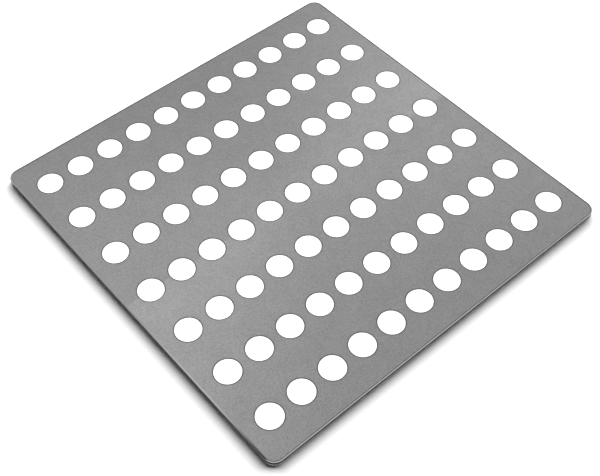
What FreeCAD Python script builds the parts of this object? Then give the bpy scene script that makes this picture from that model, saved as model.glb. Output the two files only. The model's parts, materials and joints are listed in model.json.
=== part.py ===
"""Queen excluder: one flat sheet of metal with rows of round, punched bee passages.

Every length is in millimetres. The sheet lies flat with its underside on Z = 0 and its middle on the
Z axis. The rows of passages run along X, and each row lies beside the next along Y. The sheet's size
and the two pitches set how many passages there is room for, and the pattern stays in the middle.
"""

import math
import os

import FreeCAD
import Part

# the sheet
PLATE_X = 84.0
PLATE_Y = 84.5
THICKNESS = 1.0
CORNER_RADIUS = 2.2

# the bee passages: a worker goes through one, a queen doesn't
PASSAGE_DIAMETER = 5.15
PITCH_IN_ROW = 7.25
ROW_PITCH = 11.55
# the least metal left between a passage and the edge of the sheet
EDGE_LAND = 3.0

# the outline's edges: rolled over where the blanking die pushed in, broken where it came out
TOP_EDGE_RADIUS = 0.32
BOTTOM_EDGE_CHAMFER = 0.1
# the share of the thickness that an edge's finish may take
EDGE_SHARE = 0.45


def places(length, pitch):
    """Centres of the passages along one side of the sheet, with the set of them in the middle."""
    room = length - 2.0 * EDGE_LAND - PASSAGE_DIAMETER
    count = math.floor(room / pitch) + 1
    first = -0.5 * pitch * (count - 1)
    return [first + pitch * index for index in range(count)]


def blank():
    """The sheet before its passages are punched: a slab with rounded corners."""
    corner = FreeCAD.Vector(-0.5 * PLATE_X, -0.5 * PLATE_Y, 0.0)
    slab = Part.makeBox(PLATE_X, PLATE_Y, THICKNESS, corner)
    upright = [edge for edge in slab.Edges if edge.BoundBox.ZLength > 0.5 * THICKNESS]
    return slab.makeFillet(CORNER_RADIUS, upright)


def outline_edges(solid, height):
    """The edges of the solid's outline that lie at one height."""
    return [
        edge
        for edge in solid.Edges
        if abs(edge.BoundBox.ZMin - height) < 1e-6 and abs(edge.BoundBox.ZMax - height) < 1e-6
    ]


def finish_edges(solid):
    """Roll the outline's top edge over and break its bottom edge."""
    limit = EDGE_SHARE * THICKNESS
    rolled = solid.makeFillet(min(TOP_EDGE_RADIUS, limit), outline_edges(solid, THICKNESS))
    return rolled.makeChamfer(min(BOTTOM_EDGE_CHAMFER, limit), outline_edges(rolled, 0.0))


def passages():
    """One punch for each bee passage, standing past both faces of the sheet."""
    below = FreeCAD.Vector(0.0, 0.0, -THICKNESS)
    punch = Part.makeCylinder(0.5 * PASSAGE_DIAMETER, 3.0 * THICKNESS, below)
    return [
        punch.translated(FreeCAD.Vector(x, y, 0.0))
        for y in places(PLATE_Y, ROW_PITCH)
        for x in places(PLATE_X, PITCH_IN_ROW)
    ]


def excluder_plate():
    """The whole excluder: the finished blank with its passages punched through."""
    return finish_edges(blank()).cut(Part.makeCompound(passages()))


def main():
    """Write the excluder's one piece to the parts folder."""
    os.makedirs("parts", exist_ok=True)
    solid = excluder_plate().Solids[0]
    solid.exportStep(os.path.join("parts", "excluder_plate.step"))


main()
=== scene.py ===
"""Looks of a queen excluder: one punched sheet of grey metal lying on a pale floor.

Lengths are in metres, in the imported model's own frame. The sheet's box and the places and widths of
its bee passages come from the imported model, so the finished surface lies on the solid it stands for.
"""

import json
import logging
import math
from dataclasses import dataclass, field
from enum import Enum

import bmesh
import bpy
import numpy as np
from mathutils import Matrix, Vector


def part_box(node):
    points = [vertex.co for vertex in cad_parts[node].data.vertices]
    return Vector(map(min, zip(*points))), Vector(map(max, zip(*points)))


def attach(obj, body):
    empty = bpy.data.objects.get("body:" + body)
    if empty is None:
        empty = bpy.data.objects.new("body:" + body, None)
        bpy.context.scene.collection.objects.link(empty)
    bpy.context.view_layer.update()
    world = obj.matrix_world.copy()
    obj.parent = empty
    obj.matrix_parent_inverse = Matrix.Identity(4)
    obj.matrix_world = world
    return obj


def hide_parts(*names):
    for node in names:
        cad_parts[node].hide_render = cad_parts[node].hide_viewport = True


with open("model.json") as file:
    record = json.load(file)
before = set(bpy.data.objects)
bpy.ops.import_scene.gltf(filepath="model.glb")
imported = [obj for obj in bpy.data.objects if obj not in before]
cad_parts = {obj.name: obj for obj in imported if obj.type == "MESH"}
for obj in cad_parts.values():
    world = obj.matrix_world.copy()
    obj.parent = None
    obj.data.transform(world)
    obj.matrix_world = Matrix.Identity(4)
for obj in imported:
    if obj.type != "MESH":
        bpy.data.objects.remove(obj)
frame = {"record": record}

LOG = logging.getLogger("queen_excluder")
NODE = "excluder_plate"
BODY = "root"
# The point attribute that masks where the rims' painted shade and painted highlights show.
RIM = "rim"
MM = 0.001


class Zone(Enum):
    """The parts of the sheet's surface, by how they were made, with their material slots."""

    ROLLED_FACE = 0
    PUNCHED_WALL = 1
    SHEARED_SIDE = 2


class Socket:
    """A shader socket that adds Math nodes when it is used in a Python expression."""

    def __init__(self, graph: "Graph", output: bpy.types.NodeSocket) -> None:
        """Keep the graph that holds the socket, and the socket."""
        self.graph = graph
        self.output = output

    def _math(self, operation: str, *values: "Socket | float", clamp: bool = False) -> "Socket":
        """Add one Math node.

        Args:
            operation: The Math node's operation.
            values: Its inputs, in order.
            clamp: Whether the result is held between 0 and 1.

        Returns:
            The node's result.
        """
        settings = {"operation": operation, "use_clamp": clamp}
        return self.graph.add("ShaderNodeMath", settings, dict(enumerate(values)))

    def __add__(self, other: "Socket | float") -> "Socket":
        """self + other"""
        return self._math("ADD", self, other)

    def __radd__(self, other: float) -> "Socket":
        """other + self"""
        return self._math("ADD", other, self)

    def __sub__(self, other: "Socket | float") -> "Socket":
        """self - other"""
        return self._math("SUBTRACT", self, other)

    def __rsub__(self, other: float) -> "Socket":
        """other - self"""
        return self._math("SUBTRACT", other, self)

    def __mul__(self, other: "Socket | float") -> "Socket":
        """self * other"""
        return self._math("MULTIPLY", self, other)

    def __rmul__(self, other: float) -> "Socket":
        """other * self"""
        return self._math("MULTIPLY", other, self)

    def __truediv__(self, other: "Socket | float") -> "Socket":
        """self / other"""
        return self._math("DIVIDE", self, other)

    def __abs__(self) -> "Socket":
        """abs(self)"""
        return self._math("ABSOLUTE", self)

    def __neg__(self) -> "Socket":
        """-self"""
        return self._math("SUBTRACT", 0.0, self)

    def __pow__(self, power: float) -> "Socket":
        """self ** power"""
        return self._math("POWER", self, power)

    def cos(self) -> "Socket":
        """Cosine of an angle in radians."""
        return self._math("COSINE", self)

    def fraction(self) -> "Socket":
        """What is left above the next whole number down."""
        return self._math("FRACT", self)

    def angle_from(self, across: "Socket") -> "Socket":
        """The angle of the point (across, self) round the origin, in radians."""
        return self._math("ARCTAN2", self, across)

    def ramp(self, low: float, high: float) -> "Socket":
        """0 below low and 1 above high, with a smooth climb between them.

        Args:
            low: Where the climb starts. It may lie above high, for a fall.
            high: Where the climb ends.

        Returns:
            The ramp's value.
        """
        settings = {"interpolation_type": "SMOOTHSTEP"}
        limits = {"Value": self, "From Min": low, "From Max": high}
        return self.graph.add("ShaderNodeMapRange", settings, limits)


class Graph:
    """A material's or a world's node tree, with one way to add a node to it."""

    def __init__(self, owner: bpy.types.Material | bpy.types.World) -> None:
        """Switch nodes on and clear the tree."""
        owner.use_nodes = True
        self.tree = owner.node_tree
        self.tree.nodes.clear()

    def node(self, kind: str, settings: dict | None = None,
             inputs: dict | None = None) -> bpy.types.Node:
        """Add a node.

        Args:
            kind: The node's type.
            settings: Its properties, set before its inputs are.
            inputs: The value or link of each socket, by name or number.

        Returns:
            The node.
        """
        made = self.tree.nodes.new(kind)
        for name, value in (settings or {}).items():
            setattr(made, name, value)
        for name, value in (inputs or {}).items():
            if isinstance(value, Socket):
                self.tree.links.new(value.output, made.inputs[name])
            else:
                made.inputs[name].default_value = value
        return made

    def add(self, kind: str, settings: dict | None = None, inputs: dict | None = None,
            result: str | int = 0) -> Socket:
        """Add a node and wrap one of its outputs; the first three arguments are node's.

        Args:
            kind: The node's type.
            settings: Its properties.
            inputs: The value or link of each socket.
            result: The output's name or number.

        Returns:
            The output.
        """
        return Socket(self, self.node(kind, settings, inputs).outputs[result])

    def axes(self, vector: Socket) -> tuple[Socket, Socket, Socket]:
        """A vector's three parts."""
        split = self.node("ShaderNodeSeparateXYZ", {}, {0: vector})
        return tuple(Socket(self, output) for output in split.outputs)

    def grain(self, place: Socket, scale: tuple[float, float, float], detail: float = 2.0,
              roughness: float = 0.5) -> Socket:
        """Noise stretched along the axes.

        Args:
            place: Object coordinates, in metres.
            scale: Cells for each metre along each axis.
            detail: How many finer layers are added.
            roughness: How strong the finer layers are.

        Returns:
            A value about 0.5.
        """
        stretched = self.add("ShaderNodeMapping", {}, {"Vector": place, "Scale": scale})
        settings = {"noise_dimensions": "3D"}
        inputs = {"Vector": stretched, "Scale": 1.0, "Detail": detail, "Roughness": roughness}
        return self.add("ShaderNodeTexNoise", settings, inputs)

    def tint(self, factor: Socket, low: "tuple | Socket", high: "tuple | Socket") -> Socket:
        """A colour that goes from low to high as factor goes from 0 to 1."""
        settings = {"data_type": "RGBA", "clamp_factor": True}
        inputs = {0: factor, 6: low, 7: high}
        return self.add("ShaderNodeMix", settings, inputs, 2)

    def shade(self, colour: Socket, share: Socket) -> Socket:
        """A colour made lighter or darker by a share."""
        return self.add("ShaderNodeVectorMath", {"operation": "SCALE"}, {0: colour, 3: share})


def grey(level: float, warmth: float = 0.0) -> tuple[float, float, float, float]:
    """A grey with a little more red than blue where warmth is above 0."""
    return (level * (1 + warmth), level, level * (1 - warmth), 1.0)


@dataclass(frozen=True)
class Layer:
    """A layer of noise and how much it changes what it is added to."""

    cells: tuple[float, float, float]
    share: float
    detail: float = 2.0
    roughness: float = 0.5

    def noise(self, graph: Graph, place: Socket) -> Socket:
        """The noise itself, a value about 0.5."""
        return graph.grain(place, self.cells, self.detail, self.roughness)

    def build(self, graph: Graph, place: Socket) -> Socket:
        """The noise about 0, times the layer's share."""
        return self.share * (self.noise(graph, place) - 0.5)


@dataclass(frozen=True)
class NearSides:
    """The sheet's -X and -Y sides, whose edges carry painted highlights and painted shade, so they are
    lighter or darker than the other two.
    """

    start: float = 40.0 * MM
    full: float = 41.0 * MM

    def build(self, x: Socket, y: Socket) -> tuple[Socket, Socket]:
        """How far a place belongs to the -X side and to the -Y side, each from 0 to 1."""
        return (-x).ramp(self.start, self.full), (-y).ramp(self.start, self.full)


@dataclass(frozen=True)
class RolledFaceFinish:
    """Dull cold-rolled sheet: a grey with a painted fan of sheen, fine grain, faint blotches and streaks,
    and painted shade and painted highlights at its rims.
    """

    level: float = 0.333
    edge_tint: float = 0.7
    roughness: float = 0.42
    fine: Layer = Layer((9000.0, 5200.0, 6000.0), 0.10, 3.0, 0.6)
    dull_patches: Layer = Layer((60.0, 60.0, 60.0), 0.06)
    bump_strength: float = 0.25
    bump_height: float = 0.006 * MM

    # Painted sheen: a fan of lighter and darker colour round the middle that stands in for reflected
    # light.
    fan_height: float = 0.434
    fan_floor: float = 0.242
    fan_fall: float = 0.52
    fan_power: float = 2.86
    fan_growth: float = 0.72
    fan_reach: float = 55.5 * MM

    clouds: Layer = Layer((150.0, 150.0, 150.0), 1.0, 3.0, 0.6)
    cloud_low: float = 0.46
    cloud_high: float = 0.62
    green_start: float = 26.0 * MM
    green_full: float = 38.0 * MM
    green_red: float = 0.984
    green_blue: float = 0.980

    mottle: Layer = Layer((260.0, 260.0, 260.0), 0.18, 3.0, 0.6)
    streaks: Layer = Layer((130.0, 3100.0, 800.0), 0.05)
    cross_streaks: Layer = Layer((2600.0, 160.0, 800.0), 0.04)
    speck_cells: float = 9000.0
    speck_share: float = 0.42

    # The rims' colours below are painted shade and painted highlights: near black for shade on the groove
    # and roll, lighter stretches on the -X and -Y sides for glints.
    rim_shade_share: float = 0.95
    rim_uneven: Layer = Layer((330.0, 330.0, 330.0), 0.5, 2.0, 0.6)
    burr_roughness: float = 0.75
    painted_groove_shade: float = 0.04
    painted_rim_shade: float = 0.03
    painted_highlight_level: float = 0.31
    painted_glint_peak: float = 0.46
    painted_edge_highlight: float = 0.47
    turn_start: float = 0.0004
    turn_full: float = 0.009
    glint_start: float = 2.0 * MM
    glint_full: float = 18.0 * MM
    glint_last: float = 26.0 * MM
    glint_end: float = 40.0 * MM

    def build(self) -> bpy.types.Material:
        """Make the material: the face's metal, mixed at the rims with a dull shader coloured with painted
        shade and painted highlights.

        Returns:
            The material, on Object coordinates.
        """
        material = bpy.data.materials.new("rolled_face")
        graph = Graph(material)
        place = graph.add("ShaderNodeTexCoord", result="Object")
        x, y, _ = graph.axes(place)
        # The base colour is scaled by the painted sheen.
        colour = graph.shade(self.base_colour(graph, place, x), self.painted_sheen(x, y))
        fine = self.fine.noise(graph, place)
        rough = self.roughness + self.fine.share * (fine - 0.5) + self.dull_patches.build(graph, place)
        bump = {"Strength": self.bump_strength, "Distance": self.bump_height, "Height": fine}
        surface = {
            "Base Color": graph.shade(colour, self.worn(graph, place)),
            "Metallic": 1.0,
            "Roughness": rough,
            "Specular Tint": grey(self.edge_tint),
            "Normal": graph.add("ShaderNodeBump", {}, bump),
        }
        metal = graph.add("ShaderNodeBsdfPrincipled", {}, surface)
        # The dull rim shader, whose colour is painted shade with painted highlights.
        surface = {
            "Base Color": self.painted_rim_shade_and_highlights(graph, x, y),
            "Roughness": self.burr_roughness,
            "Specular IOR Level": 0.0,
        }
        painted_rim_shader = graph.add("ShaderNodeBsdfPrincipled", {}, surface)
        mixed = graph.add("ShaderNodeMixShader", {}, {0: self.rim(graph, place), 1: metal, 2: painted_rim_shader})
        graph.node("ShaderNodeOutputMaterial", {}, {"Surface": mixed})
        return material

    def painted_rim_shade_and_highlights(self, graph: Graph, x: Socket, y: Socket) -> Socket:
        """The colour of the turned-over rims: painted shade, with painted highlights on the -X and -Y
        sides.

        Where it is still flat it is a painted dark groove of shade. On the -X side a painted glint is
        brightest along a stretch on the -Y half, and fades to the painted shade before the corner. The -Y
        side carries a painted highlight all along.

        Args:
            graph: The material's graph.
            x: Place along the rows.
            y: Place across the rows.

        Returns:
            The colour.
        """
        normal = graph.add("ShaderNodeNewGeometry", result="Normal")
        turned = (1.0 - abs(graph.axes(normal)[2])).ramp(self.turn_start, self.turn_full)
        # Painted shade: near black where the rim is still flat and on the roll.
        groove_shade = grey(self.painted_groove_shade)
        dark = graph.tint(turned, groove_shade, grey(self.painted_rim_shade))
        near_highlight = graph.tint(turned, groove_shade, grey(self.painted_edge_highlight))
        # Painted highlights: a glint along a stretch of the -X side, and a light line all along the -Y
        # side.
        stretch = (-y).ramp(self.glint_start, self.glint_full)
        painted_glint = graph.tint(stretch, grey(self.painted_highlight_level), grey(self.painted_glint_peak))
        painted_glint = graph.tint((-y).ramp(self.glint_last, self.glint_end), painted_glint, dark)
        left, near = NearSides().build(x, y)
        return graph.tint(near, graph.tint(left, dark, painted_glint), near_highlight)

    def base_colour(self, graph: Graph, place: Socket, x: Socket) -> Socket:
        """The metal's own grey, with faint green-grey clouds towards the ends of the rows.

        Args:
            graph: The material's graph.
            place: Object coordinates.
            x: Place along the rows.

        Returns:
            The colour.
        """
        ends = abs(x).ramp(self.green_start, self.green_full)
        clouds = self.clouds.noise(graph, place).ramp(self.cloud_low, self.cloud_high)
        greenish = (self.level * self.green_red, self.level, self.level * self.green_blue, 1.0)
        return graph.tint(ends * clouds, grey(self.level), greenish)

    def painted_sheen(self, x: Socket, y: Socket) -> Socket:
        """Painted sheen: a colour share that fans round the sheet's middle, brightest just past the middle
        row's line.

        With t the share of a half turn from the line, the painted sheen is |cos(pi t)| to the power
        fan_power, times 1 - fan_fall t. It grows with the distance from the middle, to the power
        fan_growth.

        Args:
            x: Place along the rows.
            y: Place across the rows.

        Returns:
            A share of the plain colour.
        """
        reach = (x * x + y * y) ** 0.5
        turn = (y.angle_from(x) / math.pi + 1.0).fraction()
        painted_sheen = abs((turn * math.pi).cos()) ** self.fan_power * (1.0 - self.fan_fall * turn)
        grown = (reach / self.fan_reach) ** self.fan_growth
        return 1.0 + grown * (painted_sheen * self.fan_height - self.fan_floor)

    def worn(self, graph: Graph, place: Socket) -> Socket:
        """Mottling, fine specks, rolling streaks along the rows, and fainter ones across them.

        Args:
            graph: The material's graph.
            place: Object coordinates.

        Returns:
            A share of the plain colour.
        """
        inputs = {"Vector": place, "Scale": self.speck_cells}
        crystals = graph.add("ShaderNodeTexVoronoi", {"feature": "F1"}, inputs, "Color")
        specks = self.speck_share * (graph.axes(crystals)[0] - 0.5)
        worn = 1.0 + self.mottle.build(graph, place) + specks
        return worn + self.streaks.build(graph, place) + self.cross_streaks.build(graph, place)

    def rim(self, graph: Graph, place: Socket) -> Socket:
        """How much of the dull shader, coloured with painted shade and painted highlights, shows where the
        face rolls over: 0 on the flat.

        Args:
            graph: The material's graph.
            place: Object coordinates.

        Returns:
            The share of dull metal.
        """
        rim = graph.add("ShaderNodeAttribute", {"attribute_name": RIM}, result="Fac")
        return self.rim_shade_share * rim * (1.0 + self.rim_uneven.build(graph, place))


@dataclass(frozen=True)
class PunchedWallFinish:
    """A punched wall: a burnished land under the roll-over, and a dull torn band below it."""

    land_level: float = 0.95
    torn_level: float = 0.88
    torn_warmth: float = 0.01
    land_low: float = 0.36 * MM
    land_high: float = 0.46 * MM
    land_wander: Layer = Layer((2200.0, 2200.0, 200.0), 0.12 * MM)
    streaks: Layer = Layer((9000.0, 9000.0, 500.0), 0.16, 2.0, 0.6)
    tears: Layer = Layer((14000.0, 14000.0, 9000.0), 1.0, 3.0, 0.7)
    torn_roughness: float = 0.50
    land_polish: float = 0.22
    streak_roughness: float = 0.08
    streak_height: float = 0.3
    bump_strength: float = 0.5
    bump_height: float = 0.008 * MM

    def build(self) -> bpy.types.Material:
        """Make the material.

        Returns:
            The material, on Object coordinates.
        """
        material = bpy.data.materials.new("punched_wall")
        graph = Graph(material)
        place = graph.add("ShaderNodeTexCoord", result="Object")
        _, _, height = graph.axes(place)
        land = (height + self.land_wander.build(graph, place)).ramp(self.land_low, self.land_high)
        colour = graph.tint(land, grey(self.torn_level, self.torn_warmth), grey(self.land_level))
        streaks = self.streaks.noise(graph, place)
        relief = self.tears.noise(graph, place) * (1.0 - land) + streaks * self.streak_height
        bump = {"Strength": self.bump_strength, "Distance": self.bump_height, "Height": relief}
        rough = self.torn_roughness - self.land_polish * land + self.streak_roughness * (streaks - 0.5)
        surface = {
            "Base Color": graph.shade(colour, 1.0 + self.streaks.share * (streaks - 0.5)),
            "Metallic": 1.0,
            "Roughness": rough,
            "Normal": graph.add("ShaderNodeBump", {}, bump),
        }
        shader = graph.add("ShaderNodeBsdfPrincipled", {}, surface)
        graph.node("ShaderNodeOutputMaterial", {}, {"Surface": shader})
        return material


@dataclass(frozen=True)
class ShearedSideFinish:
    """The sheet's sheared sides: satin metal with upright shear lines, painted lighter on the -X side as a
    painted highlight, and darker at the near corner as painted shade.
    """

    level: float = 0.20
    # Painted highlight: the lighter level of the -X side.
    painted_highlight_level: float = 0.31
    # Painted shade: how much darker the side is at the near corner.
    corner_shade_share: float = 0.6
    lines: Layer = Layer((5200.0, 5200.0, 260.0), 0.18, 3.0, 0.6)
    mottle: Layer = Layer((300.0, 300.0, 900.0), 0.12, 3.0, 0.6)
    plain_share: float = 1.01
    roughness: float = 0.36
    line_roughness: float = 0.10
    bump_strength: float = 0.4
    bump_height: float = 0.008 * MM

    def build(self) -> bpy.types.Material:
        """Make the material.

        Returns:
            The material, on Object coordinates.
        """
        material = bpy.data.materials.new("sheared_side")
        graph = Graph(material)
        place = graph.add("ShaderNodeTexCoord", result="Object")
        x, y, _ = graph.axes(place)
        left, near = NearSides().build(x, y)
        lines = self.lines.noise(graph, place)
        share = self.plain_share + self.lines.share * (lines - 0.5) + self.mottle.build(graph, place)
        # Painted shade: darker where the -X and -Y sides meet at the near corner.
        share = share * (1.0 - self.corner_shade_share * (left * near))
        bump = {"Strength": self.bump_strength, "Distance": self.bump_height, "Height": lines}
        # Painted highlight: the -X side is lighter.
        surface = {
            "Base Color": graph.shade(graph.tint(left, grey(self.level), grey(self.painted_highlight_level)), share),
            "Metallic": 1.0,
            "Roughness": self.roughness + self.line_roughness * (lines - 0.5),
            "Normal": graph.add("ShaderNodeBump", {}, bump),
        }
        shader = graph.add("ShaderNodeBsdfPrincipled", {}, surface)
        graph.node("ShaderNodeOutputMaterial", {}, {"Surface": shader})
        return material


@dataclass
class Surface:
    """Points and four-sided faces from grids, with each face's zone and each point's share of a rim."""

    points: list[np.ndarray] = field(default_factory=list)
    faces: list[np.ndarray] = field(default_factory=list)
    zones: list[np.ndarray] = field(default_factory=list)
    rims: list[np.ndarray] = field(default_factory=list)
    count: int = 0
    weld: float = 0.001 * MM
    crease: float = 50.0

    def add_grids(self, grids: np.ndarray, row_zones: np.ndarray, row_rims: np.ndarray,
                  flip: bool) -> None:
        """Add grids whose columns run round a closed loop.

        A face joins rows j and j + 1 and columns k and k + 1, and the last column joins the first.

        Args:
            grids: Points, as (grid, row, column, 3).
            row_zones: The zone of the faces below each row but the last.
            row_rims: How much each row lies on a rim, from 0 to 1.
            flip: Whether the faces' corners are taken in the other order.
        """
        number, rows, columns, _ = grids.shape
        index = np.arange(number * rows * columns).reshape(number, rows, columns) + self.count
        after = np.roll(index, -1, axis=2)
        corners = [index[:, :-1], after[:, :-1], after[:, 1:], index[:, 1:]]
        quads = np.stack(corners[::-1] if flip else corners, axis=-1)
        zones = np.broadcast_to(row_zones[None, :, None], quads.shape[:3])
        rims = np.broadcast_to(row_rims[None, :, None], grids.shape[:3])
        self.points.append(grids.reshape(-1, 3))
        self.rims.append(rims.ravel())
        self.faces.append(quads.reshape(-1, 4))
        self.zones.append(zones.ravel())
        self.count += number * rows * columns

    def mesh(self, name: str) -> bpy.types.Mesh:
        """Join the grids into one closed mesh.

        Args:
            name: The mesh's name.

        Returns:
            The mesh, smooth but for its creases.
        """
        points, faces = np.concatenate(self.points), np.concatenate(self.faces)
        mesh = bpy.data.meshes.new(name)
        mesh.vertices.add(len(points))
        mesh.vertices.foreach_set("co", points.ravel())
        mesh.loops.add(faces.size)
        mesh.loops.foreach_set("vertex_index", faces.ravel())
        mesh.polygons.add(len(faces))
        mesh.polygons.foreach_set("loop_start", np.arange(0, faces.size, 4))
        mesh.polygons.foreach_set("material_index", np.concatenate(self.zones))
        mesh.update(calc_edges=True)
        rims = mesh.attributes.new(RIM, "FLOAT", "POINT")
        rims.data.foreach_set("value", np.concatenate(self.rims))
        work = bmesh.new()
        work.from_mesh(mesh)
        bmesh.ops.remove_doubles(work, verts=work.verts, dist=self.weld)
        work.to_mesh(mesh)
        work.free()
        mesh.shade_smooth()
        mesh.set_sharp_from_angle(angle=math.radians(self.crease))
        return mesh


@dataclass
class PunchedSheet:
    """The sheet with its bee passages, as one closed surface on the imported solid."""

    corner_radius: float = 2.2 * MM
    edge_roll: float = 0.30 * MM
    edge_break: float = 0.10 * MM
    edge_drop: float = 0.05 * MM
    edge_shade: float = 0.08 * MM
    edge_rim_start: float = 0.35
    edge_rim_end: float = 3.0
    rim_roll_out: float = 0.09 * MM
    rim_roll_down: float = 0.03 * MM
    # The rim bands below mark where the painted shade of the passage rims falls.
    rim_dark_out: float = 0.18 * MM
    rim_shade_out: float = 0.34 * MM
    rim_dark_share: float = 0.36
    land_bottom: float = 0.40 * MM
    tear_flare: float = 0.03 * MM
    exit_break: float = 0.05 * MM
    hold: float = 0.05 * MM
    round_steps: int = 64
    corner_steps: int = 10
    rim_steps: int = 4
    edge_steps: int = 6

    def __post_init__(self) -> None:
        """Read the sheet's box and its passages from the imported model."""
        low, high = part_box(NODE)
        self.low, self.high = np.array(low), np.array(high)
        bores = [mount for mount in frame["record"]["mounts"] if mount["kind"] == "bore"]
        self.centres = np.array([mount["pos_m"][:2] for mount in bores])
        self.passage_radius = bores[0]["dims"]["r_mm"] * MM

    def roll(self, out: float, down: float, steps: int) -> tuple[np.ndarray, np.ndarray]:
        """A quarter of an ellipse, from the flat face to the upright wall.

        With a from 0 to a quarter turn, a point is out (1 - sin a) from the wall, and
        down (1 - cos a) below the face.

        Args:
            out: How far from the wall it starts.
            down: How far below the face it ends.
            steps: How many spans it has.

        Returns:
            Distances from the wall, and depths below the face.
        """
        turn = np.linspace(0.0, 0.5 * math.pi, steps + 1)
        return out * (1.0 - np.sin(turn)), down * (1.0 - np.cos(turn))

    def passage_profile(self) -> tuple[np.ndarray, np.ndarray, np.ndarray, np.ndarray]:
        """The wall of a passage from the upper face to the underside.

        Returns:
            Distances outward from the wall, heights, the zone below each row but the last, and how
            much each row lies on a rim.
        """
        top = self.high[2]
        out, down = self.roll(self.rim_roll_out, self.rim_roll_down, self.rim_steps)
        flare, exit_break = self.tear_flare, self.exit_break
        face = np.array([self.rim_shade_out, self.rim_dark_out])
        below = np.array([0.0, flare, flare + exit_break, flare + exit_break + self.hold])
        offsets = np.r_[face, out, below]
        heights = np.r_[top, top, top - down, self.land_bottom, exit_break, 0.0, 0.0]
        first_wall = len(face) + len(out) - 1
        zones = np.full(len(offsets) - 1, Zone.ROLLED_FACE.value)
        zones[first_wall:first_wall + 3] = Zone.PUNCHED_WALL.value
        # These rim values set where the rim's painted shade falls.
        rims = np.r_[0.0, self.rim_dark_share, np.ones(len(out)), np.zeros(len(below))]
        return offsets, heights, zones, rims

    def cell_lines(self, axis: int) -> tuple[np.ndarray, np.ndarray]:
        """The lines that part the passages along one axis, halfway between them.

        Args:
            axis: 0 along the rows or 1 across them.

        Returns:
            The passages' places along the axis, and the lines before, between and after them.
        """
        places = np.unique(np.round(self.centres[:, axis], 7))
        inset = self.corner_radius
        between = 0.5 * (places[1:] + places[:-1])
        return places, np.r_[self.low[axis] + inset, between, self.high[axis] - inset]

    def square_loop(self) -> np.ndarray:
        """The edge of the unit square as a loop of points.

        Going round from the corner (1, 1) to (0, 1), (0, 0) and (1, 0), with even steps on each side.

        Returns:
            Points, as (column, 2).
        """
        steps = self.round_steps // 4
        along = np.arange(steps) / steps
        one, nought = np.ones(steps), np.zeros(steps)
        sides = [(1.0 - along, one), (nought, 1.0 - along), (along, nought), (one, along)]
        return np.concatenate([np.stack(side, axis=1) for side in sides])

    def passage_cells(self, surface: Surface) -> None:
        """Add the cell round every passage: flat face, roll-over, wall and underside.

        Ring j of a cell is the circle (x, y) = centre + (radius + offset_j) (cos a, sin a) at height_j,
        and its first and last rings are the cell's own rectangle on the two faces.

        Args:
            surface: Where the grids go.
        """
        offsets, heights, zones, rims = self.passage_profile()
        turn = 0.25 * math.pi + 2.0 * math.pi * np.arange(self.round_steps) / self.round_steps
        circle = np.stack([np.cos(turn), np.sin(turn)], axis=1)
        places_x, lines_x = self.cell_lines(0)
        places_y, lines_y = self.cell_lines(1)
        column = np.abs(self.centres[:, 0, None] - places_x).argmin(axis=1)
        row = np.abs(self.centres[:, 1, None] - places_y).argmin(axis=1)
        low = np.stack([lines_x[column], lines_y[row]], axis=1)
        high = np.stack([lines_x[column + 1], lines_y[row + 1]], axis=1)
        border = low[:, None] + (high - low)[:, None] * self.square_loop()
        rings = self.centres[:, None, None] + (self.passage_radius + offsets)[None, :, None, None] * circle
        flat = np.concatenate([border[:, None], rings, border[:, None]], axis=1)
        levels = np.r_[self.high[2], heights, self.low[2]]
        levels = np.broadcast_to(levels[None, :, None, None], (*flat.shape[:3], 1))
        face = Zone.ROLLED_FACE.value
        grids = np.concatenate([flat, levels], axis=3)
        surface.add_grids(grids, np.r_[face, zones, face], np.r_[0.0, rims, 0.0], flip=False)

    def margin_path(self) -> tuple[np.ndarray, np.ndarray]:
        """The loop that the outer cells end on, and the way outward at each of its points.

        On a side the points are the cells' own, and the way outward is the side's. At a corner the
        point stays and the way outward turns through a quarter circle.

        Returns:
            Points and unit vectors, as (column, 2) each.
        """
        steps = self.round_steps // 4
        sides = []
        for axis in (0, 1):
            _, lines = self.cell_lines(axis)
            part = np.arange(steps) / steps
            run = (lines[:-1, None] + (lines[1:] - lines[:-1])[:, None] * part).ravel()
            sides.append(np.r_[run, lines[-1]])
        along_x, along_y = sides
        low_x, high_x, low_y, high_y = along_x[0], along_x[-1], along_y[0], along_y[-1]
        runs = [
            (np.full_like(along_y, high_x), along_y, 0.0),
            (along_x[::-1], np.full_like(along_x, high_y), 0.5 * math.pi),
            (np.full_like(along_y, low_x), along_y[::-1], math.pi),
            (along_x, np.full_like(along_x, low_y), 1.5 * math.pi),
        ]
        arc = 0.5 * math.pi * np.arange(1, self.corner_steps) / self.corner_steps
        points, ways = [], []
        for x, y, heading in runs:
            turn = np.r_[np.full(len(x), heading), heading + arc]
            corner = np.ones_like(arc)
            points.append(np.stack([np.r_[x, corner * x[-1]], np.r_[y, corner * y[-1]]], axis=1))
            ways.append(np.stack([np.cos(turn), np.sin(turn)], axis=1))
        return np.concatenate(points), np.concatenate(ways)

    def margin(self, surface: Surface) -> None:
        """Add the margin: from the outer cells over the rolled edge, down the side and back below.

        Ring j is path + offset_j way at height_j. How much it lies on the rim grows evenly over the
        rolled edge from edge_rim_start towards edge_rim_end, and stays at 1 once it gets there.

        Args:
            surface: Where the grid goes.
        """
        points, ways = self.margin_path()
        inset, top = self.corner_radius, self.high[2]
        out, down = self.roll(self.edge_roll, self.edge_drop, self.edge_steps)
        broken = inset - self.edge_break
        middle = 0.5 * (top - down[-1] + self.edge_break)
        offsets = np.r_[0.0, inset - out[0] - self.edge_shade, inset - out, inset, inset, broken,
                        broken - self.hold, 0.0]
        heights = np.r_[top, top, top - down, middle, self.edge_break, 0.0, 0.0, 0.0]
        zones = np.full(len(offsets) - 1, Zone.ROLLED_FACE.value)
        zones[len(out) + 1:len(out) + 4] = Zone.SHEARED_SIDE.value
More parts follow.
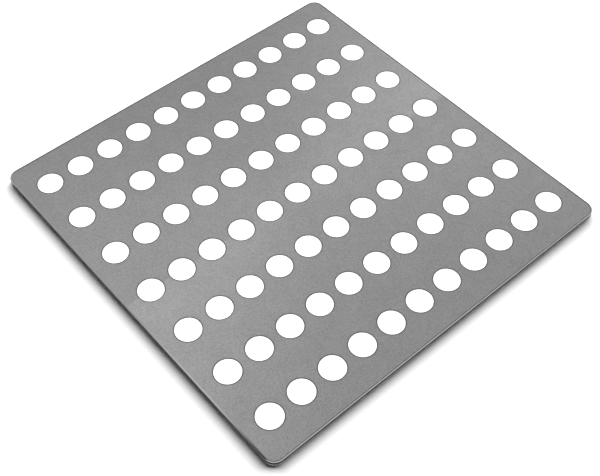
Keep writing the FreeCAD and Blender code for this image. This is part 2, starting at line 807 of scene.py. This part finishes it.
        # These rim values set where the edge's painted shade and painted highlights fall.
        rims = np.zeros(len(offsets))
        growth = np.linspace(self.edge_rim_start, self.edge_rim_end, len(out))
        rims[2:len(out) + 2] = np.minimum(growth, 1.0)
        flat = points[None] + offsets[:, None, None] * ways[None]
        levels = np.broadcast_to(heights[:, None, None], (*flat.shape[:2], 1))
        surface.add_grids(np.concatenate([flat, levels], axis=2)[None], zones, rims, flip=True)

    def build(self) -> bpy.types.Object:
        """Make the sheet, dress it and let it stand for its solid.

        Returns:
            The sheet's object.
        """
        surface = Surface()
        self.passage_cells(surface)
        self.margin(surface)
        sheet = bpy.data.objects.new("punched_sheet", surface.mesh("punched_sheet"))
        bpy.context.scene.collection.objects.link(sheet)
        finishes = {
            Zone.ROLLED_FACE: RolledFaceFinish(),
            Zone.PUNCHED_WALL: PunchedWallFinish(),
            Zone.SHEARED_SIDE: ShearedSideFinish(),
        }
        for zone in Zone:
            sheet.data.materials.append(finishes[zone].build())
        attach(sheet, BODY)
        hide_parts(NODE)
        return sheet


@dataclass
class Studio:
    """The pale floor, the soft light and the camera."""

    floor_half: float = 3.0
    floor_level: float = 0.06
    floor_white: float = 1.34
    floor_drop: float = 0.02 * MM
    sky_level: float = 1.0
    sun_heading: float = 39.0
    sun_height: float = 42.0
    sun_width: float = 66.0
    card_back: float = 0.05 * MM
    card_height: float = 2.4 * MM
    card_dip: float = 0.5
    card_wrap: float = 0.35
    azimuth: float = -40.92
    elevation: float = 52.62
    distance: float = 197.34 * MM
    aim: tuple[float, float] = (-7.19 * MM, -9.04 * MM)
    lens: float = 60.95

    def floor(self) -> bpy.types.Object:
        """A plain pale floor just under the sheet.

        Returns:
            The floor's object.
        """
        half = self.floor_half
        corners = [(-half, -half), (half, -half), (half, half), (-half, half)]
        mesh = bpy.data.meshes.new("floor")
        mesh.from_pydata([(x, y, -self.floor_drop) for x, y in corners], [], [(0, 1, 2, 3)])
        floor = bpy.data.objects.new("floor", mesh)
        bpy.context.scene.collection.objects.link(floor)
        material = bpy.data.materials.new("pale_floor")
        graph = Graph(material)
        surface = {"Base Color": grey(self.floor_level), "Roughness": 0.9, "Specular IOR Level": 0.0}
        shader = graph.add("ShaderNodeBsdfPrincipled", {}, surface)
        graph.node("ShaderNodeOutputMaterial", {}, {"Surface": shader})
        mesh.materials.append(material)
        return floor

    def sky(self) -> None:
        """Even white light from all round."""
        world = bpy.data.worlds.new("studio")
        bpy.context.scene.world = world
        graph = Graph(world)
        light = graph.add("ShaderNodeBackground", {}, {"Color": grey(1.0), "Strength": self.sky_level})
        graph.node("ShaderNodeOutputWorld", {}, {"Surface": light})

    def linked(self, name: str, *objects: bpy.types.Object) -> bpy.types.Collection:
        """A collection that names objects for a light, outside the scene's own."""
        collection = bpy.data.collections.new(name)
        for each in objects:
            collection.objects.link(each)
        return collection

    def shade_card(self, sheet: PunchedSheet) -> bpy.types.Object:
        """A thin upright ribbon just inside the sheet's two near sides, which shades the floor by them.

        Its points are path + (inset - card_back) way, from the underside up to card_height times
        1 - 2 card_dip wx wy, with (wx, wy) the way outward, so it dips at the near corner. It goes
        from where the way outward turns towards the near corner until wy comes above -card_wrap.

        Args:
            sheet: The sheet that it stands in.

        Returns:
            The ribbon's object, which no ray but a shadow ray meets.
        """
        points, ways = sheet.margin_path()
        near = np.minimum(ways.sum(axis=1), ways[:, 1] + self.card_wrap) < 0.0
        flat = (points + (sheet.corner_radius - self.card_back) * ways)[near]
        dip = 1.0 - self.card_dip * 2.0 * ways[near, 0] * ways[near, 1]
        low, high = np.c_[flat, np.full(len(flat), sheet.low[2])], np.c_[flat, self.card_height * dip]
        first = np.arange(len(flat) - 1)
        quads = np.stack([first, first + 1, first + 1 + len(flat), first + len(flat)], axis=1)
        mesh = bpy.data.meshes.new("shade_card")
        mesh.from_pydata(np.concatenate([low, high]).tolist(), [], quads.tolist())
        card = bpy.data.objects.new("shade_card", mesh)
        for ray in ("camera", "diffuse", "glossy", "transmission", "volume_scatter"):
            setattr(card, f"visible_{ray}", False)
        bpy.context.scene.collection.objects.link(card)
        return card

    def floor_light(self, floor: bpy.types.Object, card: bpy.types.Object) -> None:
        """A wide soft sun from beyond the far corner, for the floor alone.

        Args:
            floor: The floor, which it lights.
            card: The ribbon that shades the floor beside the two near sides.
        """
        turn, rise = math.radians(self.sun_heading), math.radians(self.sun_height)
        way = Vector((math.cos(turn) * math.cos(rise), math.sin(turn) * math.cos(rise), math.sin(rise)))
        data = bpy.data.lights.new("floor_sun", "SUN")
        data.angle = math.radians(self.sun_width)
        data.energy = math.pi * self.floor_white / (self.floor_level * math.sin(rise))
        sun = bpy.data.objects.new("floor_sun", data)
        sun.rotation_mode = "QUATERNION"
        sun.rotation_quaternion = way.to_track_quat("Z", "Y")
        bpy.context.scene.collection.objects.link(sun)
        sun.light_linking.receiver_collection = self.linked("floor_only", floor)
        sun.light_linking.blocker_collection = self.linked("card_only", card)

    def camera(self, top: float) -> None:
        """The camera, above the sheet's near corner.

        Args:
            top: Height of the sheet's upper face.
        """
        azimuth, elevation = math.radians(self.azimuth), math.radians(self.elevation)
        back = Vector((
            math.sin(azimuth) * math.cos(elevation),
            -math.cos(azimuth) * math.cos(elevation),
            math.sin(elevation),
        ))
        data = bpy.data.cameras.new("camera")
        data.sensor_width = 36.0
        data.lens = self.lens
        data.clip_start, data.clip_end = 0.01, 20.0
        camera = bpy.data.objects.new("camera", data)
        camera.location = Vector((*self.aim, top)) + back * self.distance
        camera.rotation_mode = "QUATERNION"
        camera.rotation_quaternion = (-back).to_track_quat("-Z", "Y")
        bpy.context.scene.collection.objects.link(camera)
        bpy.context.scene.camera = camera


def main() -> None:
    """Build the sheet and its studio."""
    logging.basicConfig(level=logging.INFO, format="%(message)s")
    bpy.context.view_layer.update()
    sheet = PunchedSheet()
    piece = sheet.build()
    LOG.info("%s: %d faces, %d passages", piece.name, len(piece.data.polygons), len(sheet.centres))
    studio = Studio()
    floor = studio.floor()
    studio.sky()
    studio.floor_light(floor, studio.shade_card(sheet))
    bpy.context.scene.view_settings.view_transform = "Standard"
    studio.camera(sheet.high[2])


if __name__ == "__main__":
    main()
